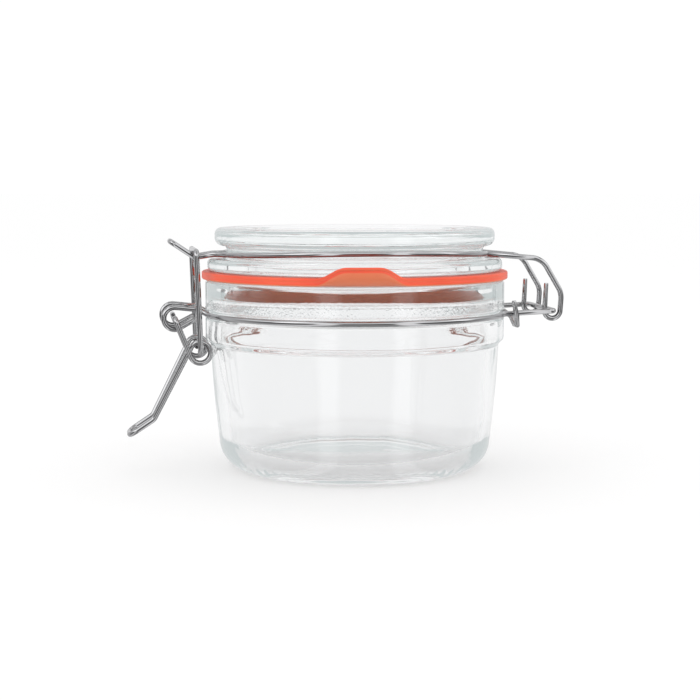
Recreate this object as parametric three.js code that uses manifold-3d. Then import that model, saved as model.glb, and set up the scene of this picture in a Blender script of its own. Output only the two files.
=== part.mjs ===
// A small bail-top preserving jar: pressed glass jar and lid, rubber sealing ring, and a closure
// bent from five spring wires. Millimetres, +Z up, +X towards the hinge, -X towards the lever.
import * as THREE from "three";
import { mergeVertices } from "three/addons/utils/BufferGeometryUtils.js";
import Module from "manifold-3d";

// ---- Driving dimensions ----
const AROUND = 48; // facets round the glass and the ring

const HEEL = 7.4; // radius of the bottom corner; the jar stands on the flat inside it
const BODY_LOW = 35.3; // body radius above the heel
const BODY_TOP = 37.4; // body radius under the collar
const COLLAR = 38.8; // radius of the thick collar
const COLLAR_LOW = 34; // height of the collar's lower edge
const RIM = 49.1; // height of the jar's rim
const MOUTH = 31.4; // inside radius of the neck
const INSIDE = 34.6; // inside radius under the neck
const FLOOR = 3.4; // height of the inside floor
const INNER_HEEL = 6.6; // radius of the inside bottom corner

const SEAL_OUT = 39.6; // outside radius of the rubber ring
const SEAL_IN = 31.9; // inside radius of the rubber ring
const SEAL_LOW = RIM + 0.2; // underside of the rubber ring
const SEAL_TALL = 2; // thickness of the rubber ring
const TAB_ANGLE = -96.5; // where the pull tab stands, in degrees round the jar
const TAB_HALF = 11.2; // half the width of the pull tab
const TAB_REACH = 4.8; // how far the tab stands out of the ring
const TAB_RISE = 3.2; // how far the tab curls up

const FLANGE = 38.2; // radius of the lid's seating flange
const FLANGE_LOW = SEAL_LOW + SEAL_TALL + 0.2; // underside of the flange
const FLANGE_TOP = 54.6; // top of the flange
const WAIST = 33.2; // radius of the waist that holds the lid wire
const DISC_LOW = 57.8; // underside of the lid's top disc
const DISC = 36.2; // radius of the lid's top disc
const LID_TOP = 62.4; // height of the closed jar
const PLUG = 30.6; // radius of the ridge that centres the lid in the mouth

const WIRE = 0.75; // radius of every closure wire
const SIDES = 8; // flats round a wire
const BAND_Z = 40.5; // height of the neck band
const GROOVE = 1.15; // radius of the groove that the neck band lies in
const BAND_RING = 39.1; // radius of the neck band's ring
const LID_RING = 34.3; // radius of the lid wire's ring
const LID_WIRE_Z = 56.25; // mean height of the lid wire's ring
const LID_WIRE_BOW = 0.6; // how much the lid wire rises and falls round the lid

const HINGE = [50.3, 41]; // x and z of the bar that the lid turns on
const TONGUE_HALF = 12.3; // half the width of the hinge tongue
const LID_LEG = 10.1; // sideways place of the lid wire's two legs
const HOOK = 2.2; // radius of the lid wire's hooks round the hinge bar

const PIVOT = [-46.9, 39.8]; // x and z of the lever's pivot
const PIVOT_EYE = 2.8; // radius of the neck band's two pivot eyes
const EYE_LEG = 6.4; // sideways place of the pivot eyes
const LEVER_ARM = 9; // sideways place of the lever's upper arms
const BAIL_EYE = [-40.7, 31.2]; // x and z of the lever's two eyes for the bail
const BAIL_EYE_R = 2.6; // radius of the lever's eyes
const LEVER_TAIL = 7.1; // sideways place of the tail under the eyes
const TAIL_END = 4.2; // sideways place of the tail at the thumb loop
const BAIL_LEG = 11.1; // sideways place of the bail's legs
const NOSE = [-41.6, 55]; // x and z of the lowest point of the lid wire's nose
const NOSE_HALF = 3.2; // half the width of the nose
const BAIL_TOP = NOSE[1] + 2 * WIRE + 0.25; // height of the bail's bar over the nose

// ---- Helpers ----
const wasm = await Module();
wasm.setup();

function solid(geometry) {
  const bare = geometry.clone();
  bare.deleteAttribute("normal");
  bare.deleteAttribute("uv");
  const merged = mergeVertices(bare, 1e-4);
  return new wasm.Manifold(
    new wasm.Mesh({
      numProp: 3,
      vertProperties: merged.attributes.position.array,
      triVerts: new Uint32Array(merged.index.array),
    }),
  );
}

function geometryOf(body) {
  const mesh = body.getMesh();
  const geometry = new THREE.BufferGeometry();
  geometry.setAttribute("position", new THREE.BufferAttribute(mesh.vertProperties, 3));
  geometry.setIndex(new THREE.BufferAttribute(mesh.triVerts, 1));
  geometry.computeVertexNormals();
  return geometry;
}

function arc2(x, y, radius, from, to, steps) {
  const points = [];
  for (let i = 0; i <= steps; i++) {
    const a = THREE.MathUtils.degToRad(from + ((to - from) * i) / steps);
    points.push(new THREE.Vector2(x + radius * Math.cos(a), y + radius * Math.sin(a)));
  }
  return points;
}

// A turned profile of radius and height, given upwards on its outside, becomes a solid about +Z.
function turned(profile) {
  const lathe = new THREE.LatheGeometry(profile, AROUND);
  return lathe.rotateX(Math.PI / 2);
}

// A wire's centre line as straight runs, with each corner rounded by the pin it was bent on.
function bent(corners, radius, steps = 4) {
  const points = [corners[0]];
  for (let i = 1; i < corners.length - 1; i++) {
    const before = corners[i - 1].clone().sub(corners[i]).normalize();
    const after = corners[i + 1].clone().sub(corners[i]).normalize();
    const half = before.angleTo(after) / 2;
    const trim = radius / Math.tan(half);
    const centre = before.clone().add(after).normalize();
    centre.multiplyScalar(radius / Math.sin(half)).add(corners[i]);
    const from = before.multiplyScalar(trim).add(corners[i]).sub(centre);
    const to = after.multiplyScalar(trim).add(corners[i]).sub(centre);
    const sweep = from.angleTo(to);
    const axis = from.clone().cross(to).normalize();
    for (let k = 0; k <= steps; k++) {
      points.push(from.clone().applyAxisAngle(axis, (sweep * k) / steps).add(centre));
    }
  }
  points.push(corners[corners.length - 1]);
  return points;
}

const at = (x, y, z) => new THREE.Vector3(x, y, z);

// Points round an upright circle at one sideways place; the place may drift from y0 to y1.
function upright([x, z], radius, from, to, steps, y0, y1 = y0) {
  return arc2(x, z, radius, from, to, steps).map((p, i) => at(p.x, y0 + ((y1 - y0) * i) / steps, p.y));
}

// Points round a level ring about the jar's axis, with its height as a function of the angle.
function level(radius, from, to, steps, height) {
  return arc2(0, 0, radius, from, to, steps).map((p) => at(p.x, p.y, height(Math.atan2(p.y, p.x))));
}

// Each section of the wire stands on one of the points of its centre line.
class CentreLine extends THREE.CatmullRomCurve3 {
  getPointAt(u, target) {
    return this.getPoint(u, target);
  }
  getTangentAt(u, target) {
    return this.getTangent(u, target);
  }
}

function wire(points) {
  const section = new THREE.Shape(arc2(0, 0, WIRE, 0, 360 - 360 / SIDES, SIDES - 1));
  const extrudePath = new CentreLine(points, false, "centripetal");
  return new THREE.ExtrudeGeometry(section, { steps: points.length - 1, extrudePath });
}

const mirrored = (points) => points.map((p) => at(p.x, -p.y, p.z)).reverse();

const CLEAR_GLASS = {
  color: 0xeef4f2,
  roughness: 0.03,
  metalness: 0,
  transparent: true,
  opacity: 0.35,
};
const RED_RUBBER = { color: 0xee5236, roughness: 0.5, metalness: 0 };
const BRIGHT_WIRE = { color: 0xb9bbbd, roughness: 0.25, metalness: 1 };

function piece(name, geometry, finish) {
  const mesh = new THREE.Mesh(geometry, new THREE.MeshStandardMaterial(finish));
  mesh.name = name;
  return mesh;
}

// ---- Glass jar: one pressing, open at the top ----
function glassJar() {
  const profile = [
    new THREE.Vector2(0, 0),
    ...arc2(BODY_LOW - HEEL, HEEL, HEEL, -90, -4, 6),
    new THREE.Vector2(BODY_TOP - 0.6, COLLAR_LOW - 13),
    new THREE.Vector2(BODY_TOP, COLLAR_LOW - 1.4),
    new THREE.Vector2(COLLAR, COLLAR_LOW),
    ...arc2(COLLAR + 0.2, BAND_Z, GROOVE, 258, 102, 4),
    ...arc2(COLLAR - 1, RIM - 1, 1, 0, 90, 3),
    ...arc2(MOUTH + 0.8, RIM - 0.8, 0.8, 90, 180, 3),
    new THREE.Vector2(MOUTH, RIM - 1.2),
    new THREE.Vector2(INSIDE, RIM - 1.2 - (INSIDE - MOUTH)),
    new THREE.Vector2(INSIDE, COLLAR_LOW - 2),
    new THREE.Vector2(INSIDE - 1.4, 14),
    ...arc2(INSIDE - 2.1 - INNER_HEEL, FLOOR + INNER_HEEL, INNER_HEEL, -4, -90, 6),
    new THREE.Vector2(0, FLOOR - 0.3),
  ];
  return piece("glass_jar", turned(profile), CLEAR_GLASS);
}

// ---- Rubber ring with its pull tab, which curls up as it leaves the ring ----
function rubberSeal() {
  const high = SEAL_LOW + SEAL_TALL;
  const ring = solid(
    turned([
      new THREE.Vector2(SEAL_IN, SEAL_LOW),
      new THREE.Vector2(SEAL_OUT - 0.4, SEAL_LOW),
      new THREE.Vector2(SEAL_OUT, SEAL_LOW + 0.4),
      new THREE.Vector2(SEAL_OUT, high - 0.4),
      new THREE.Vector2(SEAL_OUT - 0.4, high),
      new THREE.Vector2(SEAL_IN, high),
      new THREE.Vector2(SEAL_IN, SEAL_LOW),
    ]),
  );
  return piece("rubber_seal", geometryOf(ring.add(solid(pullTab()))), RED_RUBBER);
}

function pullTab() {
  const root = SEAL_OUT - 1.2;
  const outline = new THREE.Shape();
  outline.moveTo(-TAB_HALF, 0);
  outline.lineTo(TAB_HALF, 0);
  outline.bezierCurveTo(TAB_HALF - 3.5, 0.2, TAB_HALF - 4, TAB_REACH + 1.2, 3.4, TAB_REACH + 1.2);
  outline.lineTo(-3.4, TAB_REACH + 1.2);
  outline.bezierCurveTo(4 - TAB_HALF, TAB_REACH + 1.2, 3.5 - TAB_HALF, 0.2, -TAB_HALF, 0);
  const sheet = { depth: SEAL_TALL - 0.1, bevelEnabled: false, curveSegments: 6 };
  const tab = new THREE.ExtrudeGeometry(outline, sheet);
  const place = tab.attributes.position;
  for (let i = 0; i < place.count; i++) {
    const along = place.getX(i);
    const out = place.getY(i);
    const lift = TAB_RISE * (out / (TAB_REACH + 1.2)) ** 1.5;
    const sag = along ** 2 / (2 * SEAL_OUT);
    place.setXYZ(i, root + out - sag, along, SEAL_LOW + 0.05 + place.getZ(i) + lift);
  }
  // The outline's own axes are swapped above, which turns the faces in, so each triangle is turned back.
  const flat = tab.index ? tab.toNonIndexed() : tab;
  const corner = flat.attributes.position.array;
  for (let i = 0; i < corner.length; i += 9) {
    for (let k = 0; k < 3; k++) {
      [corner[i + 3 + k], corner[i + 6 + k]] = [corner[i + 6 + k], corner[i + 3 + k]];
    }
  }
  return flat.rotateZ(THREE.MathUtils.degToRad(TAB_ANGLE));
}

// ---- Glass lid: seating flange, waist for the wire and a broad top disc, hollow underneath ----
function glassLid() {
  const profile = [
    new THREE.Vector2(0, LID_TOP - 4.6),
    new THREE.Vector2(20, LID_TOP - 5),
    ...arc2(24.5, FLANGE_LOW + 3.4, 3.4, 90, 0, 3),
    new THREE.Vector2(28.2, FLANGE_LOW - 2.2),
    new THREE.Vector2(PLUG - 0.6, FLANGE_LOW - 2.8),
    new THREE.Vector2(PLUG, FLANGE_LOW - 2.2),
    new THREE.Vector2(PLUG + 0.3, FLANGE_LOW),
    ...arc2(FLANGE - 1, FLANGE_LOW + 1, 1, -90, 0, 2),
    ...arc2(FLANGE - 1.2, FLANGE_TOP - 1.2, 1.2, 0, 90, 3),
    new THREE.Vector2(WAIST, FLANGE_TOP),
    new THREE.Vector2(WAIST, DISC_LOW - 0.4),
    ...arc2(DISC - 2, DISC_LOW + 2, 2, -90, 0, 3),
    ...arc2(DISC - 1.6, LID_TOP - 1.6, 1.6, 0, 90, 3),
    new THREE.Vector2(30.5, LID_TOP),
    new THREE.Vector2(29, LID_TOP - 1),
    new THREE.Vector2(0, LID_TOP - 1),
  ];
  return piece("glass_lid", turned(profile), CLEAR_GLASS);
}

// ---- Neck band: one wire from pivot eye, round the collar's groove, hinge tongue, back to the other eye ----
function neckBand() {
  const eye = upright(PIVOT, PIVOT_EYE, -75, -270, 9, -EYE_LEG);
  const lead = Math.asin(EYE_LEG / BAND_RING) * (180 / Math.PI);
  const leave = Math.asin(TONGUE_HALF / BAND_RING) * (180 / Math.PI);
  const ring = level(BAND_RING, 180 + lead + 3, 360 - leave - 4, 24, () => BAND_Z);
  const tongue = bent(
    [
      at(39.4, -TONGUE_HALF, BAND_Z),
      at(HINGE[0], -TONGUE_HALF, HINGE[1]),
      at(HINGE[0], 0, HINGE[1]),
    ],
    1.5,
  );
  const nearHalf = [
    at(-41.6, -EYE_LEG, 39.6),
    ...eye,
    at(-41.4, -EYE_LEG, 42),
    at(-39.6, -EYE_LEG - 0.4, 41.2),
    ...ring,
    ...tongue.slice(0, -1),
  ];
  return piece("neck_band", wire([...nearHalf, ...mirrored(nearHalf)]), BRIGHT_WIRE);
}

// ---- Hinge tie: a short wire behind the tongue that hooks under and round both of its legs ----
function hingeTie() {
  const half = [
    at(38.9, -TONGUE_HALF - 1.9, 43.9),
    at(39.7, -TONGUE_HALF - 1.9, 40),
    at(40.1, -TONGUE_HALF - 0.9, 37.5),
    at(39.9, -TONGUE_HALF + 0.8, 37.6),
    at(39.3, -TONGUE_HALF + 2.2, 39.6),
    ...level(BAND_RING, -11, -2.5, 3, () => BAND_Z),
  ];
  return piece("hinge_tie", wire([...half, ...mirrored(half)]), BRIGHT_WIRE);
}

// ---- Lid wire: hooks on the hinge bar, legs up to the waist, ring round the waist, nose at the front ----
function lidWire() {
  const bow = (a) => LID_WIRE_Z - LID_WIRE_BOW * Math.cos(2 * a);
  const hook = upright(HINGE, HOOK, 190, 360, 8, -LID_LEG);
  const leg = bent(
    [hook[hook.length - 1], at(52.7, -LID_LEG, 45.4), at(47.4, -LID_LEG, 54.3), at(35.4, -LID_LEG, 55.75)],
    5,
  );
  const nose = bent(
    [
      at(-36.8, -NOSE_HALF, 55.75),
      at(NOSE[0], -NOSE_HALF, NOSE[1]),
      at(-47.6, -NOSE_HALF, 59),
      at(-47.6, 0, 59),
    ],
    1.4,
  );
  const nearHalf = [
    at(48.6, -LID_LEG, 48.1),
    ...hook.slice(0, -1),
    ...leg.slice(0, -1),
    ...level(LID_RING, -20, -168, 24, bow),
    ...nose.slice(0, -1),
  ];
  return piece("lid_wire", wire([...nearHalf, ...mirrored(nearHalf)]), BRIGHT_WIRE);
}

// ---- Bail link: its bar lies over the nose, its two ends hook into the lever's eyes ----
function bailLink() {
  const half = bent(
    [
      at(BAIL_EYE[0], -LEVER_TAIL + 1, BAIL_EYE[1]),
      at(BAIL_EYE[0], -BAIL_LEG, BAIL_EYE[1]),
      at(NOSE[0], -BAIL_LEG, BAIL_TOP),
      at(NOSE[0], 0, BAIL_TOP),
    ],
    1.3,
  ).slice(0, -1);
  return piece("bail_link", wire([...half, ...mirrored(half)]), BRIGHT_WIRE);
}

// ---- Lever: pins in the pivot eyes, arms down to the bail's eyes, then the thumb tail ----
function lever() {
  const pin = bent(
    [at(PIVOT[0], -EYE_LEG + 2, PIVOT[1]), at(PIVOT[0], -LEVER_ARM, PIVOT[1]), at(-43.9, -LEVER_ARM, 31.7)],
    1.2,
  );
  const eye = upright(BAIL_EYE, BAIL_EYE_R, 205, 525, 14, -LEVER_ARM, -LEVER_TAIL);
  const tail = bent(
    [
      eye[eye.length - 1],
      at(-52.4, -TAIL_END, 13.9),
      at(-58.5, -TAIL_END, 9.9),
      at(-58.5, 0, 9.9),
    ],
    2.4,
  );
  const half = [...pin.slice(0, -1), ...eye, ...tail.slice(1, -1)];
  return piece("lever", wire([...half, ...mirrored(half)]), BRIGHT_WIRE);
}

const jar = new THREE.Group();
jar.add(glassJar(), rubberSeal(), glassLid());
jar.add(neckBand(), hingeTie(), lidWire(), bailLink(), lever());

export default jar;
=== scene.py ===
import math

import bmesh
import bpy
from mathutils import Matrix, Vector


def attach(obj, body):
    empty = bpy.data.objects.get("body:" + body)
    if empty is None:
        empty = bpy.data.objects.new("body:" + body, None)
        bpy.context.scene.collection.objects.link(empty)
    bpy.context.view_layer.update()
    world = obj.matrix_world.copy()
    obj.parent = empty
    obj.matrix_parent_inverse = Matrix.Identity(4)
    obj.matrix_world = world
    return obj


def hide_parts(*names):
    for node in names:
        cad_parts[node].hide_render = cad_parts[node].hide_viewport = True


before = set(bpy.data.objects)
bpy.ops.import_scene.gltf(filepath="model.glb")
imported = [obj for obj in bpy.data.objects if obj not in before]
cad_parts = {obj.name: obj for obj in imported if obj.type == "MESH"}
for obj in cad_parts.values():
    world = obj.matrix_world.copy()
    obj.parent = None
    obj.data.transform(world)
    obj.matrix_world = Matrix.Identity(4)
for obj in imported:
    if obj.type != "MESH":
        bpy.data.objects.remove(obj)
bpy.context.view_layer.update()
MM = 0.001

# ---- Camera ----
# The jar is seen almost from the side, from just above its lid, and a little from the lever's side.
CAMERA_TURN = math.radians(-9)
CAMERA_AWAY = 400 * MM
CAMERA_UP = 72 * MM
CAMERA_PITCH = math.radians(5.94)
CAMERA_ASIDE = -1.2 * MM

away = Vector((math.sin(CAMERA_TURN), -math.cos(CAMERA_TURN), 0)) * CAMERA_AWAY
aside = Vector((math.cos(CAMERA_TURN), math.sin(CAMERA_TURN), 0)) * CAMERA_ASIDE
camera_data = bpy.data.cameras.new("camera")
camera_data.lens = 79.1
camera_data.sensor_width = 36
camera_data.clip_start = 0.01
camera_data.clip_end = 50
camera = bpy.data.objects.new("camera", camera_data)
camera.location = away + aside + Vector((0, 0, CAMERA_UP))
camera.rotation_euler = (math.pi / 2 - CAMERA_PITCH, 0, CAMERA_TURN)
bpy.context.collection.objects.link(camera)
bpy.context.scene.camera = camera


# ---- Studio: floor, world and lamps ----
# A white table that also gives off a soft light of its own, and a white surround. What mirrors the
# room from outside sees a tent with bright panels in its near half, so glass and wire show stripes.
def matte_white():
    material = bpy.data.materials.new("studio_white")
    material.use_nodes = True
    shader = material.node_tree.nodes["Principled BSDF"]
    shader.inputs["Base Color"].default_value = (0.45, 0.45, 0.45, 1)
    shader.inputs["Roughness"].default_value = 0.9
    shader.inputs["Specular IOR Level"].default_value = 0.0
    shader.inputs["Emission Color"].default_value = (1, 1, 1, 1)
    shader.inputs["Emission Strength"].default_value = 0.53
    return material


def studio_floor(size):
    corners = [(-size, -size, 0), (size, -size, 0), (size, size, 0), (-size, size, 0)]
    mesh = bpy.data.meshes.new("floor")
    mesh.from_pydata(corners, [], [(0, 1, 2, 3)])
    floor = bpy.data.objects.new("floor", mesh)
    floor.data.materials.append(matte_white())
    floor.visible_glossy = False
    bpy.context.collection.objects.link(floor)


def studio_world():
    """White to look at and to look through; a striped tent to whatever mirrors it from outside."""
    world = bpy.data.worlds.new("studio")
    world.use_nodes = True
    nodes = world.node_tree.nodes
    links = world.node_tree.links
    nodes.clear()
    output = nodes.new("ShaderNodeOutputWorld")
    white = nodes.new("ShaderNodeBackground")
    white.inputs["Color"].default_value = (1, 1, 1, 1)
    white.inputs["Strength"].default_value = 1.04
    tent = nodes.new("ShaderNodeBackground")
    place = nodes.new("ShaderNodeTexCoord")
    split = nodes.new("ShaderNodeSeparateXYZ")
    links.new(place.outputs["Generated"], split.inputs[0])

    def stripes(source, low, stops):
        """Greys by place, for a source that runs from low to 1; each stop is a (place, grey) pair."""
        lift = nodes.new("ShaderNodeMapRange")
        lift.inputs["From Min"].default_value = low
        ramp = nodes.new("ShaderNodeValToRGB")
        ramp.color_ramp.elements[0].color = (stops[0][1], stops[0][1], stops[0][1], 1)
        ramp.color_ramp.elements[1].color = (stops[-1][1], stops[-1][1], stops[-1][1], 1)
        for position, grey in stops[1:-1]:
            ramp.color_ramp.elements.new(position).color = (grey, grey, grey * 1.01, 1)
        links.new(source, lift.inputs["Value"])
        links.new(lift.outputs["Result"], ramp.inputs["Fac"])
        return ramp.outputs["Color"]

    sideways = nodes.new("ShaderNodeMath")
    sideways.operation = "ABSOLUTE"
    links.new(split.outputs["X"], sideways.inputs[0])
    height = ((0, 0.5), (0.3, 0.4), (0.44, 0.03), (0.54, 0.04), (0.6, 0.5))
    height += ((0.68, 1.7), (0.78, 1.7), (0.86, 0.4), (1, 0.7))
    width = ((0, 0.02), (0.3, 0.03), (0.4, 1.5), (0.56, 1.5), (0.64, 0.1), (0.95, 0.08), (1, 0.5))
    panels = nodes.new("ShaderNodeMix")
    panels.data_type = "RGBA"
    panels.blend_type = "LIGHTEN"
    panels.inputs["Factor"].default_value = 1.0
    links.new(stripes(split.outputs["Z"], -1, height), panels.inputs["A"])
    links.new(stripes(sideways.outputs[0], 0, width), panels.inputs["B"])
    behind = nodes.new("ShaderNodeMapRange")
    behind.inputs["From Min"].default_value = 0.0
    behind.inputs["From Max"].default_value = 0.4
    room = nodes.new("ShaderNodeMix")
    room.data_type = "RGBA"
    room.inputs["B"].default_value = (0.8, 0.8, 0.81, 1)
    links.new(split.outputs["Y"], behind.inputs["Value"])
    links.new(behind.outputs["Result"], room.inputs["Factor"])
    links.new(panels.outputs["Result"], room.inputs["A"])
    links.new(room.outputs["Result"], tent.inputs["Color"])
    path = nodes.new("ShaderNodeLightPath")
    outside = nodes.new("ShaderNodeMath")
    outside.operation = "LESS_THAN"
    outside.inputs[1].default_value = 0.5
    mirrored = nodes.new("ShaderNodeMath")
    mirrored.operation = "MULTIPLY"
    mix = nodes.new("ShaderNodeMixShader")
    links.new(path.outputs["Transmission Depth"], outside.inputs[0])
    links.new(outside.outputs[0], mirrored.inputs[0])
    links.new(path.outputs["Is Glossy Ray"], mirrored.inputs[1])
    links.new(mirrored.outputs[0], mix.inputs["Fac"])
    links.new(white.outputs[0], mix.inputs[1])
    links.new(tent.outputs[0], mix.inputs[2])
    links.new(mix.outputs[0], output.inputs["Surface"])
    bpy.context.scene.world = world


def soft_lamp(name, place, size, power):
    data = bpy.data.lights.new(name, "AREA")
    data.shape = "RECTANGLE"
    data.size = size[0]
    data.size_y = size[1]
    data.energy = power
    lamp = bpy.data.objects.new(name, data)
    lamp.location = place
    lamp.rotation_euler = (Vector((0, 0, 0.03)) - Vector(place)).to_track_quat("-Z", "Y").to_euler()
    bpy.context.collection.objects.link(lamp)


studio_floor(30)
studio_world()
soft_lamp("key_lamp", (-0.55, -0.3, 0.4), (0.25, 0.5), 0.35)
soft_lamp("fill_lamp", (0.6, -0.1, 0.3), (0.15, 0.5), 0.2)
soft_lamp("top_lamp", (0.05, 0.3, 0.7), (0.5, 0.2), 0.25)
bpy.context.scene.view_settings.view_transform = "Standard"

# ---- Glass jar ----
# One pressing in clear soda glass: a flat foot, a round heel, a slightly tapered body and a thick
# collar with a groove for the neck band. The inner wall wavers a little, as pressed glass does.
HEEL = 7.4 * MM
BODY_LOW = 35.3 * MM
BODY_TOP = 37.4 * MM
COLLAR = 38.8 * MM
COLLAR_LOW = 34 * MM
RIM = 49.1 * MM
MOUTH = 31.4 * MM
INSIDE = 34.6 * MM
FLOOR = 3.4 * MM
INNER_HEEL = 6.6 * MM
BAND_Z = 40.5 * MM
GLASS_AROUND = 240
KNURLS = 60
NECK_SKIN = 35.5 * MM  # a radius between the inner wall of the neck and its outside
REFLECTIONS = 3.5  # light thrown about inside the walls more often than this counts as trapped


def arc(x, y, radius, start, end, steps):
    angles = [math.radians(start + (end - start) * i / steps) for i in range(steps + 1)]
    return [(x + radius * math.cos(a), y + radius * math.sin(a)) for a in angles]


def straight(a, b, steps):
    return [(a[0] + (b[0] - a[0]) * i / steps, a[1] + (b[1] - a[1]) * i / steps) for i in range(steps + 1)]


def barrel(a, b, steps):
    """Points from a up to b that bulge a quarter of a millimetre on the way."""
    bulge = 0.25 * MM
    return [(r + bulge * math.sin(math.pi * i / steps), z) for i, (r, z) in enumerate(straight(a, b, steps))]


def waist_curve(a, b, steps):
    """Points from a to b along an S that leaves and arrives upright."""
    points = []
    for i in range(steps + 1):
        t = i / steps
        ease = t * t * (3 - 2 * t)
        points.append((a[0] + (b[0] - a[0]) * ease, a[1] + (b[1] - a[1]) * t))
    return points


def turned(name, profile, around, shift=None):
    """A solid turned about +Z from (radius, height) points that start and end on the axis.
    shift(radius, height, angle) may move a point to a new (radius, height)."""
    mesh = bpy.data.meshes.new(name)
    build = bmesh.new()
    rings = []
    for radius, height in profile:
        if radius < 1e-7:
            rings.append([build.verts.new((0, 0, height))])
            continue
        ring = []
        for k in range(around):
            a = 2 * math.pi * k / around
            r, z = shift(radius, height, a) if shift else (radius, height)
            ring.append(build.verts.new((r * math.cos(a), r * math.sin(a), z)))
        rings.append(ring)
    for low, high in zip(rings, rings[1:]):
        for k in range(around):
            n = (k + 1) % around
            if len(low) == 1:
                build.faces.new((low[0], high[n], high[k]))
            elif len(high) == 1:
                build.faces.new((low[k], low[n], high[0]))
            else:
                build.faces.new((low[k], low[n], high[n], high[k]))
    bmesh.ops.recalc_face_normals(build, faces=build.faces)
    build.to_mesh(mesh)
    build.free()
    mesh.polygons.foreach_set("use_smooth", [True] * len(mesh.polygons))
    piece = bpy.data.objects.new(name, mesh)
    bpy.context.collection.objects.link(piece)
    return piece


def clear_glass(name, waves, depth, ripple):
    """Pressed soda glass: fire polished, faintly green where it is deep, with slight mould waves.
    ripple is how strongly the inside of the neck is rippled."""
    material = bpy.data.materials.new(name)
    material.use_nodes = True
    nodes = material.node_tree.nodes
    links = material.node_tree.links
    shader = nodes["Principled BSDF"]
    shader.inputs["Base Color"].default_value = (0.94, 0.943, 0.946, 1)
    shader.inputs["Roughness"].default_value = 0.0
    shader.inputs["IOR"].default_value = 1.5
    shader.inputs["Transmission Weight"].default_value = 1.0
    place = nodes.new("ShaderNodeTexCoord")
    mapping = nodes.new("ShaderNodeMapping")
    mapping.inputs["Scale"].default_value = (1, 1, 0.45)
    noise = nodes.new("ShaderNodeTexNoise")
    noise.inputs["Scale"].default_value = waves
    noise.inputs["Detail"].default_value = 1.5
    bump = nodes.new("ShaderNodeBump")
    bump.inputs["Strength"].default_value = 1.0
    bump.inputs["Distance"].default_value = depth
    links.new(place.outputs["Object"], mapping.inputs["Vector"])
    links.new(mapping.outputs["Vector"], noise.inputs["Vector"])
    links.new(noise.outputs["Fac"], bump.inputs["Height"])
    # The plunger leaves the inside of the neck finely rippled, which looks frosted from outside.
    radial = nodes.new("ShaderNodeVectorMath")
    radial.operation = "MULTIPLY"
    radial.inputs[1].default_value = (1, 1, 0)
    reach = nodes.new("ShaderNodeVectorMath")
    reach.operation = "LENGTH"
    within = nodes.new("ShaderNodeMath")
    within.operation = "LESS_THAN"
    within.inputs[1].default_value = NECK_SKIN
    split = nodes.new("ShaderNodeSeparateXYZ")
    neck = nodes.new("ShaderNodeMapRange")
    neck.inputs["From Min"].default_value = 37 * MM
    neck.inputs["From Max"].default_value = 42 * MM
    neck.inputs["To Max"].default_value = ripple
    shoulder = nodes.new("ShaderNodeMapRange")
    shoulder.inputs["From Min"].default_value = 45.6 * MM
    shoulder.inputs["From Max"].default_value = 44.6 * MM
    below = nodes.new("ShaderNodeMath")
    below.operation = "MULTIPLY"
    amount = nodes.new("ShaderNodeMath")
    amount.operation = "MULTIPLY"
    fine = nodes.new("ShaderNodeTexNoise")
    fine.inputs["Scale"].default_value = 1500
    fine.inputs["Detail"].default_value = 2
    frost = nodes.new("ShaderNodeBump")
    frost.inputs["Distance"].default_value = 0.00012
    links.new(place.outputs["Object"], radial.inputs[0])
    links.new(radial.outputs["Vector"], reach.inputs[0])
    links.new(reach.outputs["Value"], within.inputs[0])
    links.new(place.outputs["Object"], split.inputs[0])
    links.new(split.outputs["Z"], neck.inputs["Value"])
    links.new(split.outputs["Z"], shoulder.inputs["Value"])
    links.new(shoulder.outputs["Result"], below.inputs[0])
    links.new(neck.outputs["Result"], below.inputs[1])
    links.new(within.outputs[0], amount.inputs[0])
    links.new(below.outputs[0], amount.inputs[1])
    links.new(amount.outputs[0], frost.inputs["Strength"])
    links.new(place.outputs["Object"], fine.inputs["Vector"])
    links.new(fine.outputs["Fac"], frost.inputs["Height"])
    links.new(bump.outputs["Normal"], frost.inputs["Normal"])
    links.new(frost.outputs["Normal"], shader.inputs["Normal"])
    tint = nodes.new("ShaderNodeVolumeAbsorption")
    tint.inputs["Color"].default_value = (0.78, 0.86, 0.86, 1)
    tint.inputs["Density"].default_value = 4.5
    links.new(tint.outputs[0], nodes["Material Output"].inputs["Volume"])
    # Light that has been thrown to and fro inside the walls leaves them as pale as the room.
    path = nodes.new("ShaderNodeLightPath")
    trapped = nodes.new("ShaderNodeMath")
    trapped.operation = "GREATER_THAN"
    trapped.inputs[1].default_value = REFLECTIONS
    pale = nodes.new("ShaderNodeEmission")
    pale.inputs["Color"].default_value = (0.81, 0.87, 0.87, 1)
    pale.inputs["Strength"].default_value = 0.74
    leave = nodes.new("ShaderNodeMixShader")
    links.new(path.outputs["Glossy Depth"], trapped.inputs[0])
    links.new(trapped.outputs[0], leave.inputs["Fac"])
    links.new(shader.outputs["BSDF"], leave.inputs[1])
    links.new(pale.outputs[0], leave.inputs[2])
    links.new(leave.outputs[0], nodes["Material Output"].inputs["Surface"])
    return material


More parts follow.
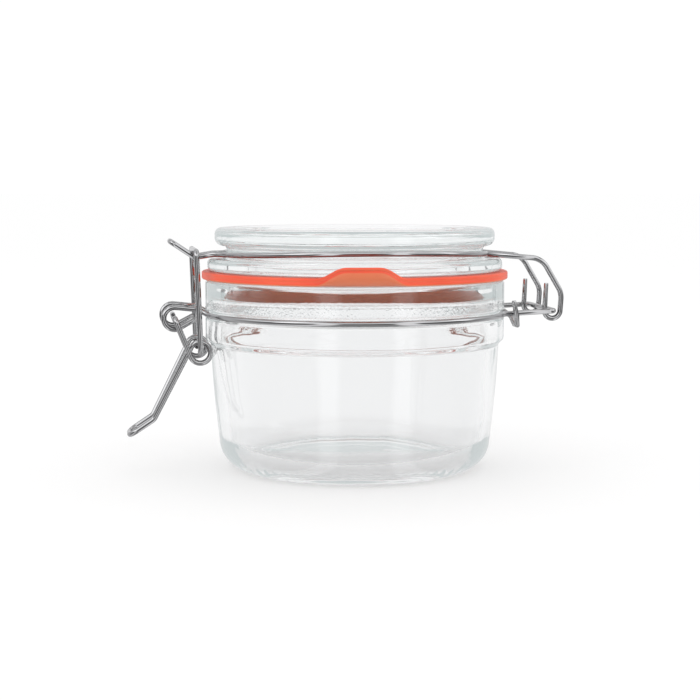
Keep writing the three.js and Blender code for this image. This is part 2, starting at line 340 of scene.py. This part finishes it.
def jar_profile():
    groove = 1.15 * MM
    foot = BODY_LOW - HEEL
    outside = [(0, 1.1 * MM), (8 * MM, 1.05 * MM), (16 * MM, 0.85 * MM)]
    outside += waist_curve((foot - 5.4 * MM, 0.75 * MM), (foot - 3.6 * MM, 0.02 * MM), 6)
    outside += straight((foot - 3.2 * MM, 0), (foot - 0.3 * MM, 0), 8)
    outside += arc(foot, HEEL, HEEL, -90, -4, 22)
    outside += barrel((BODY_LOW + 0.08 * MM, HEEL + 0.6 * MM), (BODY_TOP, COLLAR_LOW - 2.4 * MM), 16)
    step = (COLLAR - 0.1 * MM, COLLAR_LOW + 0.1 * MM)
    outside += waist_curve((BODY_TOP + 0.02 * MM, COLLAR_LOW - 1.6 * MM), step, 10)
    outside += straight((COLLAR, COLLAR_LOW + 0.5 * MM), (COLLAR, BAND_Z - 1.5 * MM), 3)
    outside += arc(COLLAR + 0.2 * MM, BAND_Z, groove, 258, 102, 12)
    outside += straight((COLLAR, BAND_Z + 1.5 * MM), (COLLAR, RIM - 1.4 * MM), 4)
    outside += arc(COLLAR - 1 * MM, RIM - 1 * MM, 1 * MM, 0, 90, 8)
    inside = arc(MOUTH + 0.8 * MM, RIM - 0.8 * MM, 0.8 * MM, 90, 180, 8)
    flare = INSIDE - MOUTH
    inside += straight((MOUTH, RIM - 1.1 * MM), (MOUTH + 0.05 * MM, RIM - 1.3 * MM), 2)
    inside += straight((MOUTH + 0.3 * MM, RIM - 1.6 * MM), (INSIDE - 0.3 * MM, RIM - 1 * MM - flare), 6)
    inside += straight((INSIDE - 0.05 * MM, RIM - 1.4 * MM - flare), (INSIDE, COLLAR_LOW + 1 * MM), 12)
    inside += straight((INSIDE - 0.05 * MM, COLLAR_LOW - 1.5 * MM), (INSIDE - 1.5 * MM, 13 * MM), 16)
    inside += arc(INSIDE - 2 * MM - INNER_HEEL, FLOOR + INNER_HEEL, INNER_HEEL, -2, -90, 18)
    inside += [(16 * MM, FLOOR - 0.05 * MM), (8 * MM, FLOOR - 0.2 * MM), (0, FLOOR - 0.3 * MM)]
    return outside + inside


def pressed(radius, height, angle):
    """Moves a point for the foot's ring of fine knurls or the slow waver of the inner wall."""
    foot = BODY_LOW - HEEL
    if height < 0.2 * MM and foot - 2.6 * MM < radius < foot - 0.2 * MM:
        return radius, height + 0.04 * MM * (1 + math.cos(KNURLS * angle))
    if radius < INSIDE + 0.1 * MM and 6 * MM < height < 34.5 * MM:
        fade = math.sin(math.pi * (height - 6 * MM) / (28.5 * MM))
        waver = math.sin(3 * angle + 1.1) + 0.35 * math.sin(8 * angle)
        waver += 0.6 * math.sin(5 * angle + 160 * height)
        return radius + 0.1 * MM * fade * waver, height
    return radius, height


jar_glass = clear_glass("jar_glass", 90, 0.00022, 0.35)
jar = turned("jar_glass_body", jar_profile(), GLASS_AROUND, pressed)
jar.data.materials.append(jar_glass)
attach(jar, "jar")
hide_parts("glass_jar")

# ---- Glass lid ----
# A second pressing: a seating flange, a waist that the wire lies in, and a broad top disc with a
# low rim. It is hollow underneath, and a ridge centres it in the mouth.
SEAL_LOW = RIM + 0.2 * MM
SEAL_TALL = 2 * MM
FLANGE = 38.2 * MM
FLANGE_LOW = SEAL_LOW + SEAL_TALL + 0.2 * MM
FLANGE_TOP = 54.6 * MM
WAIST = 33.2 * MM
DISC_LOW = 57.8 * MM
DISC = 36.2 * MM
LID_TOP = 62.4 * MM
PLUG = 30.6 * MM


def lid_profile():
    outside = [(0, LID_TOP - 4.6 * MM), (10 * MM, LID_TOP - 4.7 * MM), (20 * MM, LID_TOP - 5 * MM)]
    outside += arc(24.5 * MM, FLANGE_LOW + 2.5 * MM, 3.4 * MM, 84, 0, 10)
    outside += straight((28 * MM, FLANGE_LOW + 1.5 * MM), (28.2 * MM, FLANGE_LOW - 2 * MM), 3)
    outside += arc(29.3 * MM, FLANGE_LOW - 1.8 * MM, 1.0 * MM, 190, 350, 10)
    root = (PLUG + 0.4 * MM, FLANGE_LOW - 0.05 * MM)
    outside += waist_curve((PLUG - 0.1 * MM, FLANGE_LOW - 1.2 * MM), root, 4)
    outside += straight((PLUG + 0.9 * MM, FLANGE_LOW), (FLANGE - 1.3 * MM, FLANGE_LOW), 4)
    outside += arc(FLANGE - 1 * MM, FLANGE_LOW + 1 * MM, 1 * MM, -90, 0, 8)
    outside += arc(FLANGE - 1.3 * MM, FLANGE_TOP - 1.3 * MM, 1.3 * MM, 0, 90, 10)
    outside += arc(WAIST + 1.1 * MM, FLANGE_TOP + 1.1 * MM, 1.1 * MM, 270, 180, 6)
    outside += arc(WAIST + 1.0 * MM, DISC_LOW - 1.0 * MM, 1.0 * MM, 180, 90, 6)
    outside += arc(DISC - 2 * MM, DISC_LOW + 2 * MM, 2 * MM, -90, 0, 10)
    outside += arc(DISC - 1.6 * MM, LID_TOP - 1.6 * MM, 1.6 * MM, 0, 90, 10)
    outside += straight((DISC - 2.4 * MM, LID_TOP), (31.4 * MM, LID_TOP), 3)
    outside += waist_curve((31 * MM, LID_TOP - 0.05 * MM), (29.4 * MM, LID_TOP - 0.95 * MM), 8)
    outside += straight((28.6 * MM, LID_TOP - 1 * MM), (0, LID_TOP - 1 * MM), 3)
    return outside


lid_glass = clear_glass("lid_glass", 110, 0.0002, 0.0)
lid = turned("lid_glass_body", lid_profile(), GLASS_AROUND)
lid.data.materials.append(lid_glass)
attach(lid, "lid")
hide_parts("glass_lid")

# ---- Rubber ring ----
# Moulded in orange-red natural rubber, with rounded edges, a fine parting line round its rim, and
# a pull tab that curls up where it leaves the ring.
SEAL_OUT = 39.6 * MM
SEAL_IN = 31.9 * MM
TAB_ANGLE = math.radians(-96.5)
TAB_HALF = 11.2 * MM
TAB_REACH = 4.7 * MM
TAB_RISE = 3.2 * MM
RUBBER_AROUND = 480


def smooth(t):
    t = min(max(t, 0), 1)
    return t * t * (3 - 2 * t)


def red_rubber():
    """Satin moulded rubber with a faint clouding, a fine grain, and painted shade on faces that look down.
    """
    material = bpy.data.materials.new("red_rubber")
    material.use_nodes = True
    nodes = material.node_tree.nodes
    links = material.node_tree.links
    shader = nodes["Principled BSDF"]
    shader.inputs["Roughness"].default_value = 0.42
    shader.inputs["IOR"].default_value = 1.52
    shader.inputs["Subsurface Weight"].default_value = 0.15
    shader.inputs["Subsurface Radius"].default_value = (1.0, 0.3, 0.15)
    shader.inputs["Subsurface Scale"].default_value = 0.0012
    place = nodes.new("ShaderNodeTexCoord")
    cloud = nodes.new("ShaderNodeTexNoise")
    cloud.inputs["Scale"].default_value = 60
    cloud.inputs["Detail"].default_value = 3
    ramp = nodes.new("ShaderNodeValToRGB")
    ramp.color_ramp.elements[0].position = 0.3
    ramp.color_ramp.elements[0].color = (0.82, 0.075, 0.028, 1)
    ramp.color_ramp.elements[1].position = 0.7
    ramp.color_ramp.elements[1].color = (0.93, 0.115, 0.045, 1)
    grain = nodes.new("ShaderNodeTexNoise")
    grain.inputs["Scale"].default_value = 2600
    grain.inputs["Detail"].default_value = 4
    bump = nodes.new("ShaderNodeBump")
    bump.inputs["Strength"].default_value = 0.35
    bump.inputs["Distance"].default_value = 0.00006
    links.new(place.outputs["Object"], cloud.inputs["Vector"])
    links.new(place.outputs["Object"], grain.inputs["Vector"])
    links.new(cloud.outputs["Fac"], ramp.inputs["Fac"])
    # Painted shade: faces that look down are mixed towards a browner tone.
    underside_shade = nodes.new("ShaderNodeAttribute")
    underside_shade.attribute_name = "underside_shade"
    shade = nodes.new("ShaderNodeMix")
    shade.data_type = "RGBA"
    shade.inputs["B"].default_value = (0.8, 0.2, 0.085, 1)
    links.new(underside_shade.outputs["Fac"], shade.inputs["Factor"])
    links.new(ramp.outputs["Color"], shade.inputs["A"])
    links.new(shade.outputs["Result"], shader.inputs["Base Color"])
    links.new(grain.outputs["Fac"], bump.inputs["Height"])
    links.new(bump.outputs["Normal"], shader.inputs["Normal"])
    return material


def ring_section():
    """The rubber ring's closed section as (radius, height) points."""
    high = SEAL_LOW + SEAL_TALL
    edge = 0.45 * MM
    section = straight((SEAL_IN + edge, SEAL_LOW), (SEAL_OUT - 6 * MM, SEAL_LOW), 2)
    section += straight((SEAL_OUT - 2.2 * MM, SEAL_LOW), (SEAL_OUT - edge, SEAL_LOW), 6)
    section += arc(SEAL_OUT - edge, SEAL_LOW + edge, edge, -80, 0, 5)
    middle = (SEAL_LOW + high) / 2
    section += [(SEAL_OUT, middle - 0.1 * MM), (SEAL_OUT - 0.06 * MM, middle), (SEAL_OUT, middle + 0.1 * MM)]
    section += arc(SEAL_OUT - edge, high - edge, edge, 0, 90, 5)
    section += straight((SEAL_OUT - edge - 0.2 * MM, high), (SEAL_OUT - 2.2 * MM, high), 6)
    section += straight((SEAL_OUT - 6 * MM, high), (SEAL_IN + edge, high), 2)
    section += arc(SEAL_IN + edge, high - edge, edge, 100, 170, 4)
    section += arc(SEAL_IN + edge, SEAL_LOW + edge, edge, 190, 260, 4)
    return section


def with_tab(radius, height, angle):
    """Draws the section out and up where the tab is."""
    side = math.remainder(angle - TAB_ANGLE, 2 * math.pi) * SEAL_OUT
    inner = SEAL_OUT - 1.6 * MM
    if abs(side) >= TAB_HALF or radius <= inner:
        return radius, height
    width = smooth((TAB_HALF - abs(side)) / (7.8 * MM))
    out = (radius - inner) / (SEAL_OUT - inner)
    reach = TAB_REACH * width * out
    lift = TAB_RISE * width * out ** 1.5
    return radius + reach, height + lift


def ring_solid(name, section, around, shift):
    """A closed ring swept round the jar's axis from a closed section."""
    mesh = bpy.data.meshes.new(name)
    build = bmesh.new()
    rings = []
    for k in range(around):
        a = 2 * math.pi * k / around
        places = [shift(r, z, a) for r, z in section]
        rings.append([build.verts.new((r * math.cos(a), r * math.sin(a), z)) for r, z in places])
    count = len(section)
    for k in range(around):
        here = rings[k]
        there = rings[(k + 1) % around]
        for i in range(count):
            n = (i + 1) % count
            build.faces.new((here[i], there[i], there[n], here[n]))
    bmesh.ops.recalc_face_normals(build, faces=build.faces)
    build.to_mesh(mesh)
    build.free()
    mesh.polygons.foreach_set("use_smooth", [True] * len(mesh.polygons))
    piece = bpy.data.objects.new(name, mesh)
    bpy.context.collection.objects.link(piece)
    return piece


seal = ring_solid("rubber_ring", ring_section(), RUBBER_AROUND, with_tab)
seal.data.materials.append(red_rubber())
# Painted shade: rubber that faces down is given a browner tone, and the attribute keeps it there when the
# lid swings.
underside_shade = seal.data.attributes.new("underside_shade", "FLOAT", "POINT")
underside_shade.data.foreach_set("value", [smooth((-0.1 - v.normal.z) / 0.5) for v in seal.data.vertices])
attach(seal, "lid")
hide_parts("rubber_seal")

# ---- Neck band ----
# The first of five pieces bent from bright 1.5 mm spring wire. It lies in the collar's groove, ends
# in two pivot eyes at the front, and makes the tongue at the back that the lid hangs on.
WIRE = 0.75 * MM
DRAWN = 0.93  # the drawn wire's true radius over its nominal one
WIRE_SIDES = 20
BAND_RING = 39.1 * MM
HINGE = (50.3 * MM, 41 * MM)
TONGUE_HALF = 12.3 * MM
PIVOT = (-46.9 * MM, 39.8 * MM)
PIVOT_EYE = 2.8 * MM
EYE_LEG = 6.4 * MM


def at(x, y, z):
    return Vector((x * MM, y * MM, z * MM))


def bent(corners, radius, steps=8):
    """A wire's centre line as straight runs, with each corner rounded by the pin it was bent on."""
    points = [corners[0]]
    for before, corner, after in zip(corners, corners[1:], corners[2:]):
        back = (before - corner).normalized()
        ahead = (after - corner).normalized()
        half = back.angle(ahead) / 2
        centre = corner + (back + ahead).normalized() * (radius / math.sin(half))
        start = corner + back * (radius / math.tan(half)) - centre
        end = corner + ahead * (radius / math.tan(half)) - centre
        axis = start.cross(end).normalized()
        sweep = start.angle(end)
        points += [centre + Matrix.Rotation(sweep * k / steps, 3, axis) @ start for k in range(steps + 1)]
    return points + [corners[-1]]


def upright(centre, radius, start, end, steps, y0, y1=None):
    """Points round an upright circle at one sideways place, which may drift from y0 to y1."""
    last = y0 if y1 is None else y1
    circle = arc(centre[0], centre[1], radius, start, end, steps)
    return [Vector((x, y0 + (last - y0) * i / steps, z)) for i, (x, z) in enumerate(circle)]


def level(radius, start, end, steps, height):
    """Points round a level ring about the jar's axis, with the height as a function of the angle."""
    return [Vector((x, y, height(math.atan2(y, x)))) for x, y in arc(0, 0, radius, start, end, steps)]


def both_halves(half):
    return half + [Vector((p.x, -p.y, p.z)) for p in reversed(half)]


def drawn_wire():
    """Bright drawn steel: fine lines run along the wire, and the finish dulls a little in patches."""
    material = bpy.data.materials.new("bright_wire")
    material.use_nodes = True
    nodes = material.node_tree.nodes
    links = material.node_tree.links
    shader = nodes["Principled BSDF"]
    shader.inputs["Metallic"].default_value = 1.0
    along = nodes.new("ShaderNodeAttribute")
    along.attribute_name = "along"
    lines = nodes.new("ShaderNodeTexNoise")
    lines.inputs["Scale"].default_value = 1.0
    lines.inputs["Detail"].default_value = 4
    stretch = nodes.new("ShaderNodeMapping")
    stretch.inputs["Scale"].default_value = (60, 26, 1)
    place = nodes.new("ShaderNodeTexCoord")
    patches = nodes.new("ShaderNodeTexNoise")
    patches.inputs["Scale"].default_value = 260
    patches.inputs["Detail"].default_value = 3
    tone = nodes.new("ShaderNodeValToRGB")
    tone.color_ramp.elements[0].position = 0.25
    tone.color_ramp.elements[0].color = (0.36, 0.36, 0.365, 1)
    tone.color_ramp.elements[1].position = 0.75
    tone.color_ramp.elements[1].color = (0.48, 0.48, 0.485, 1)
    gloss = nodes.new("ShaderNodeMapRange")
    gloss.inputs["To Min"].default_value = 0.06
    gloss.inputs["To Max"].default_value = 0.16
    bump = nodes.new("ShaderNodeBump")
    bump.inputs["Strength"].default_value = 0.15
    bump.inputs["Distance"].default_value = 0.00001
    links.new(along.outputs["Vector"], stretch.inputs["Vector"])
    links.new(stretch.outputs["Vector"], lines.inputs["Vector"])
    links.new(place.outputs["Object"], patches.inputs["Vector"])
    links.new(lines.outputs["Fac"], tone.inputs["Fac"])
    links.new(tone.outputs["Color"], shader.inputs["Base Color"])
    links.new(patches.outputs["Fac"], gloss.inputs["Value"])
    links.new(gloss.outputs["Result"], shader.inputs["Roughness"])
    links.new(lines.outputs["Fac"], bump.inputs["Height"])
    links.new(bump.outputs["Normal"], shader.inputs["Normal"])
    return material


def wire_tree(material):
    """A node tree that sweeps a round section along a centre line and rounds off the cut ends."""
    tree = bpy.data.node_groups.new("round_wire", "GeometryNodeTree")
    sockets = tree.interface
    sockets.new_socket("Centre line", in_out="INPUT", socket_type="NodeSocketGeometry")
    sockets.new_socket("Wire radius", in_out="INPUT", socket_type="NodeSocketFloat")
    sockets.new_socket("Sides", in_out="INPUT", socket_type="NodeSocketInt")
    sockets.new_socket("Wire", in_out="OUTPUT", socket_type="NodeSocketGeometry")
    nodes = tree.nodes
    links = tree.links
    given = nodes.new("NodeGroupInput")
    result = nodes.new("NodeGroupOutput")
    line = nodes.new("GeometryNodeMeshToCurve")
    thin = nodes.new("GeometryNodeSetCurveRadius")
    distance = nodes.new("GeometryNodeSplineParameter")
    total = nodes.new("GeometryNodeSplineLength")
    left = nodes.new("ShaderNodeMath")
    left.operation = "SUBTRACT"
    nearest = nodes.new("ShaderNodeMath")
    nearest.operation = "MINIMUM"
    chamfer = nodes.new("ShaderNodeMapRange")
    chamfer.inputs["From Min"].default_value = 0.0
    chamfer.inputs["To Min"].default_value = 0.7
    chamfer.inputs["To Max"].default_value = 1.0
    circle = nodes.new("GeometryNodeCurvePrimitiveCircle")
    sweep = nodes.new("GeometryNodeCurveToMesh")
    sweep.inputs["Fill Caps"].default_value = True
    spread = nodes.new("GeometryNodeInputRadius")
    round_profile = nodes.new("GeometryNodeSplineParameter")
    keep_along = nodes.new("GeometryNodeStoreNamedAttribute")
    keep_along.data_type = "FLOAT"
    keep_along.domain = "POINT"
    keep_along.inputs["Name"].default_value = "run"
    keep_round = nodes.new("GeometryNodeStoreNamedAttribute")
    keep_round.data_type = "FLOAT"
    keep_round.domain = "POINT"
    keep_round.inputs["Name"].default_value = "turn"
    run = nodes.new("GeometryNodeInputNamedAttribute")
    run.inputs["Name"].default_value = "run"
    turn = nodes.new("GeometryNodeInputNamedAttribute")
    turn.inputs["Name"].default_value = "turn"
    both = nodes.new("ShaderNodeCombineXYZ")
    keep_both = nodes.new("GeometryNodeStoreNamedAttribute")
    keep_both.data_type = "FLOAT_VECTOR"
    keep_both.domain = "POINT"
    keep_both.inputs["Name"].default_value = "along"
    shade = nodes.new("GeometryNodeSetShadeSmooth")
    real = nodes.new("GeometryNodeRealizeInstances")
    paint = nodes.new("GeometryNodeSetMaterial")
    paint.inputs["Material"].default_value = material
    links.new(given.outputs["Centre line"], line.inputs["Mesh"])
    links.new(line.outputs["Curve"], thin.inputs["Curve"])
    links.new(total.outputs["Length"], left.inputs[0])
    links.new(distance.outputs["Length"], left.inputs[1])
    links.new(left.outputs[0], nearest.inputs[0])
    links.new(distance.outputs["Length"], nearest.inputs[1])
    links.new(nearest.outputs[0], chamfer.inputs["Value"])
    links.new(given.outputs["Wire radius"], chamfer.inputs["From Max"])
    links.new(chamfer.outputs["Result"], thin.inputs["Radius"])
    links.new(thin.outputs["Curve"], keep_along.inputs["Geometry"])
    links.new(distance.outputs["Length"], keep_along.inputs["Value"])
    links.new(given.outputs["Sides"], circle.inputs["Resolution"])
    links.new(given.outputs["Wire radius"], circle.inputs["Radius"])
    links.new(circle.outputs["Curve"], keep_round.inputs["Geometry"])
    links.new(round_profile.outputs["Factor"], keep_round.inputs["Value"])
    links.new(keep_along.outputs["Geometry"], sweep.inputs["Curve"])
    links.new(keep_round.outputs["Geometry"], sweep.inputs["Profile Curve"])
    links.new(spread.outputs[0], sweep.inputs["Scale"])
    links.new(run.outputs["Attribute"], both.inputs["X"])
    links.new(turn.outputs["Attribute"], both.inputs["Y"])
    links.new(sweep.outputs["Mesh"], keep_both.inputs["Geometry"])
    links.new(both.outputs["Vector"], keep_both.inputs["Value"])
    links.new(keep_both.outputs["Geometry"], shade.inputs["Geometry"])
    links.new(shade.outputs["Geometry"], real.inputs["Geometry"])
    links.new(real.outputs["Geometry"], paint.inputs["Geometry"])
    links.new(paint.outputs["Geometry"], result.inputs["Wire"])
    return tree


steel = drawn_wire()
round_wire = wire_tree(steel)


def formed_wire(name, points, body, node):
    """Bends one closure wire along its centre line, and lets it stand for its frame node."""
    path = [p for i, p in enumerate(points) if i == 0 or (p - points[i - 1]).length > 0.02 * MM]
    # Two points a hair's breadth in from each end carry the chamfer of the cut wire.
    first = path[0] + (path[1] - path[0]).normalized() * WIRE * 0.4
    last = path[-1] + (path[-2] - path[-1]).normalized() * WIRE * 0.4
    path = [path[0], first] + path[1:-1] + [last, path[-1]]
    line = bpy.data.meshes.new(name + "_line")
    line.from_pydata(path, [(i, i + 1) for i in range(len(path) - 1)], [])
    source = bpy.data.objects.new(name + "_line", line)
    bpy.context.collection.objects.link(source)
    modifier = source.modifiers.new("wire", "NODES")
    modifier.node_group = round_wire
    values = {"Wire radius": DRAWN * WIRE, "Sides": WIRE_SIDES}
    for item in round_wire.interface.items_tree:
        if item.item_type == "SOCKET" and item.in_out == "INPUT" and item.name in values:
            modifier[item.identifier] = values[item.name]
    bpy.context.view_layer.update()
    seen = source.evaluated_get(bpy.context.evaluated_depsgraph_get())
    mesh = bpy.data.meshes.new_from_object(seen)
    mesh.name = name
    bpy.data.objects.remove(source)
    piece = bpy.data.objects.new(name, mesh)
    bpy.context.collection.objects.link(piece)
    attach(piece, body)
    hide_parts(node)
    return piece


def neck_band_line():
    eye = upright(PIVOT, PIVOT_EYE, -75, -270, 22, -EYE_LEG)
    lead = math.degrees(math.asin(EYE_LEG / BAND_RING))
    leave = math.degrees(math.asin(TONGUE_HALF / BAND_RING))
    ring = level(BAND_RING, 180 + lead + 3, 360 - leave - 4, 90, lambda a: BAND_Z)
    side = TONGUE_HALF
    out = Vector((39.4 * MM, -side, BAND_Z))
    corner = Vector((HINGE[0], -side, HINGE[1]))
    tongue = bent([out, corner, Vector((HINGE[0], 0, HINGE[1]))], 1.5 * MM)
    lead_in = [Vector((-41.4 * MM, -EYE_LEG, 42 * MM)), Vector((-39.6 * MM, -EYE_LEG - 0.4 * MM, 41.2 * MM))]
    tail = Vector((-41.6 * MM, -EYE_LEG, 39.6 * MM))
    return both_halves([tail] + eye + lead_in + ring + tongue[:-1])


formed_wire("neck_band_wire", neck_band_line(), "jar", "neck_band")


# ---- Hinge tie ----
# A short wire that lies in the groove behind the tongue. Its ends pass under the tongue's legs and
# hook up round their outsides, which keeps the neck band tight on the glass.
def hinge_tie_line():
    side = TONGUE_HALF / MM
    half = [at(38.9, -side - 1.9, 43.9), at(39.7, -side - 1.9, 40), at(40.1, -side - 0.9, 37.5)]
    half += [at(39.9, -side + 0.8, 37.6), at(39.3, -side + 2.2, 39.6)]
    half += level(BAND_RING, -11, -2.5, 6, lambda a: BAND_Z)
    return both_halves(half)


formed_wire("hinge_tie_wire", hinge_tie_line(), "jar", "hinge_tie")

# ---- Lid wire ----
# It hooks round the tongue's bar, rises to the lid, runs round the waist with a slight bow, and
# comes together at the front in a narrow nose that is bent up at its tip.
LID_RING = 34.3 * MM
LID_WIRE_Z = 56.25 * MM
LID_WIRE_BOW = 0.6 * MM
LID_LEG = 10.1 * MM
HOOK = 2.1 * MM
NOSE = (-41.6 * MM, 55 * MM)
NOSE_HALF = 3.2 * MM


def lid_wire_line():
    side = LID_LEG / MM
    narrow = NOSE_HALF / MM
    hook = upright(HINGE, HOOK, 190, 360, 20, -LID_LEG)
    leg = bent([hook[-1], at(52.7, -side, 45.4), at(47.4, -side, 54.3), at(35.4, -side, 55.75)], 5 * MM)
    ring = level(LID_RING, -20, -168, 80, lambda a: LID_WIRE_Z - LID_WIRE_BOW * math.cos(2 * a))
    valley = Vector((NOSE[0], -NOSE_HALF, NOSE[1]))
    nose = bent([at(-36.8, -narrow, 55.75), valley, at(-47.6, -narrow, 59), at(-47.6, 0, 59)], 1.4 * MM)
    return both_halves([at(48.6, -side, 48.1)] + hook[:-1] + leg[:-1] + ring + nose[:-1])


formed_wire("lid_hoop_wire", lid_wire_line(), "lid", "lid_wire")

# ---- Bail ----
# A plain stirrup. Its bar lies over the nose, and its two ends turn in through the lever's eyes.
BAIL_EYE = (-40.7 * MM, 31.2 * MM)
BAIL_LEG = 11.1 * MM
LEVER_TAIL = 7.1 * MM
BAIL_TOP = NOSE[1] + 2 * WIRE + 0.25 * MM


def bail_line():
    corners = [
        Vector((BAIL_EYE[0], -LEVER_TAIL + 1 * MM, BAIL_EYE[1])),
        Vector((BAIL_EYE[0], -BAIL_LEG, BAIL_EYE[1])),
        Vector((NOSE[0], -BAIL_LEG, BAIL_TOP)),
        Vector((NOSE[0], 0, BAIL_TOP)),
    ]
    return both_halves(bent(corners, 1.3 * MM)[:-1])


formed_wire("bail_stirrup_wire", bail_line(), "bail", "bail_link")

# ---- Lever ----
# Its ends turn in through the neck band's eyes. Each arm makes one full turn round the bail's end
# and then runs down to the thumb tail, where the two sides join in a bent-out loop.
LEVER_ARM = 9 * MM
BAIL_EYE_R = 2.6 * MM
TAIL_END = 4.2 * MM


def lever_line():
    arm = LEVER_ARM / MM
    tail = TAIL_END / MM
    inner = Vector((PIVOT[0], -EYE_LEG + 2 * MM, PIVOT[1]))
    outer = Vector((PIVOT[0], -LEVER_ARM, PIVOT[1]))
    pin = bent([inner, outer, at(-43.9, -arm, 31.7)], 1.2 * MM)
    eye = upright(BAIL_EYE, BAIL_EYE_R, 205, 525, 40, -LEVER_ARM, -LEVER_TAIL)
    corners = [eye[-1], at(-52.4, -tail, 13.9), at(-58.5, -tail, 9.9), at(-58.5, 0, 9.9)]
    return both_halves(pin[:-1] + eye + bent(corners, 2.4 * MM)[1:-1])


formed_wire("thumb_lever_wire", lever_line(), "lever", "lever")
